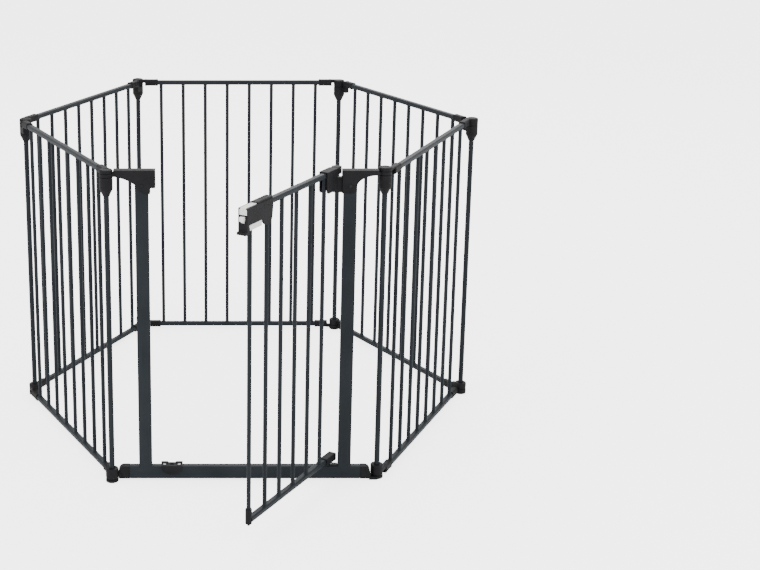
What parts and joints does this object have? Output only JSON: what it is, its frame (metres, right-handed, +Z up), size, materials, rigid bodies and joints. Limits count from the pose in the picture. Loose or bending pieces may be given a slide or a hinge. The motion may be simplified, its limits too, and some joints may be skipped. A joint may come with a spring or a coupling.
{
  "type": "folding safety gate pen",
  "caption": "Free-standing folding safety pen of barred steel fence panels and a gate panel, with a walk-through door on a lift-over latch.",
  "frame": {"origin": "on the floor, at the middle of the pen's outline seen from above with the panels set out and the door ajar", "axes": "+X along the gate panel from its latch side to its hinge side, +Y from the gate panel into the pen, +Z up"},
  "size_m": [1.1596, 1.3844, 0.76],
  "materials": {
    "painted_steel": "satin charcoal powder coat",
    "dark_plastic": "fine moulded texture, satin",
    "white_plastic": "smooth moulded, satin",
    "bare_steel": "zinc plated"
  },
  "bodies": {
    "gate": {"gate_frame": "painted_steel", "strike_bracket": "dark_plastic", "hinge_bracket": "dark_plastic", "right_end_piece": "dark_plastic", "left_end_piece": "dark_plastic", "lower_catch": "dark_plastic", "lower_pivot_base": "dark_plastic", "strike_bracket_screw": "painted_steel", "hinge_bracket_screw": "painted_steel", "catch_screw_left": "bare_steel", "catch_screw_right": "bare_steel", "front_left_hub": "dark_plastic", "front_left_post": "painted_steel", "front_left_cup": "dark_plastic"},
    "right_front": {"panel_right_front": "painted_steel", "front_right_top_cap": "dark_plastic", "front_right_hub": "dark_plastic", "front_right_post": "painted_steel", "front_right_cup": "dark_plastic", "right_top_cap": "dark_plastic", "right_foot": "dark_plastic"},
    "right_back": {"panel_right_back": "painted_steel", "right_hub": "dark_plastic", "right_post": "painted_steel", "right_cup": "dark_plastic", "back_right_hub": "dark_plastic", "back_right_post": "painted_steel", "back_right_cup": "dark_plastic"},
    "back": {"panel_back": "painted_steel", "back_right_top_cap": "dark_plastic", "back_right_foot": "dark_plastic", "back_left_top_cap": "dark_plastic", "back_left_foot": "dark_plastic"},
    "left_back": {"panel_left_back": "painted_steel", "back_left_hub": "dark_plastic", "back_left_post": "painted_steel", "back_left_cup": "dark_plastic", "left_top_cap": "dark_plastic", "left_foot": "dark_plastic"},
    "left_front": {"panel_left_front": "painted_steel", "left_hub": "dark_plastic", "left_post": "painted_steel", "left_cup": "dark_plastic", "front_left_top_cap": "dark_plastic", "front_left_foot": "dark_plastic"},
    "door_pivot": {"door_hinge_pin": "bare_steel", "lower_pivot_pin": "bare_steel"},
    "door": {"door_panel": "painted_steel", "door_hinge_sleeve": "dark_plastic", "latch_housing": "dark_plastic", "latch_grip_cover": "dark_plastic", "latch_pad": "white_plastic", "lever_spring": "bare_steel", "stile_cap": "dark_plastic", "catch_pin": "dark_plastic", "rail_end_cap": "dark_plastic"},
    "button": {"slide_button": "white_plastic"},
    "bolt": {"latch_bolt": "white_plastic"},
    "lever": {"release_lever": "white_plastic"}
  },
  "joints": [
    {"name": "front_right_fold", "type": "hinge", "parent": "gate", "child": "right_front", "pos_m": [0.29456, -0.33078, 0.38], "axis": [0, 0, 1], "range_deg": [0, 116.39]},
    {"name": "right_fold", "type": "hinge", "parent": "right_front", "child": "right_back", "pos_m": [0.56484, 0.17333, 0.38], "axis": [0, 0, 1], "range_deg": [-236.49, 0]},
    {"name": "back_right_fold", "type": "hinge", "parent": "right_back", "child": "back", "pos_m": [0.26302, 0.65922, 0.38], "axis": [0, 0, 1], "range_deg": [0, 120.09]},
    {"name": "back_left_fold", "type": "hinge", "parent": "back", "child": "left_back", "pos_m": [-0.3087, 0.67722, 0.38], "axis": [0, 0, 1], "range_deg": [-241.64, 0]},
    {"name": "left_fold", "type": "hinge", "parent": "left_back", "child": "left_front", "pos_m": [-0.56485, 0.16578, 0.38], "axis": [0, 0, 1], "range_deg": [0, 124.88]},
    {"name": "door_swing", "type": "hinge", "parent": "gate", "child": "door_pivot", "pos_m": [0.18556, -0.34378, 0.38], "axis": [0, 0, 1], "range_deg": [-58, 37]},
    {"name": "door_drop", "type": "slide", "parent": "door_pivot", "child": "door", "axis": [0, 0, 1], "range_m": [-0.008, 0]},
    {"name": "button_slide", "type": "slide", "parent": "door", "child": "button", "axis": [0.5299, 0.848, 0], "range_m": [0, 0.006], "stiffness_N_per_m": 300, "springref_m": -0.003},
    {"name": "bolt_slide", "type": "slide", "parent": "door", "child": "bolt", "axis": [0.5299, 0.848, 0], "range_m": [0, 0.006]},
    {"name": "lever_tilt", "type": "hinge", "parent": "door", "child": "lever", "pos_m": [0.00592, -0.63127, 0.718], "axis": [-0.848, 0.5299, 0], "range_deg": [0, 3.5], "stiffness_Nm_per_rad": 0.1, "springref_deg": -5.73}
  ],
  "couplings": [
    {"joint": "right_fold", "follows": "front_right_fold", "ratio": -2.0314},
    {"joint": "back_right_fold", "follows": "front_right_fold", "ratio": 1.0314},
    {"joint": "back_left_fold", "follows": "front_right_fold", "ratio": -2.0756},
    {"joint": "left_fold", "follows": "front_right_fold", "ratio": 1.0724},
    {"joint": "bolt_slide", "follows": "button_slide", "ratio": 1}
  ]
}
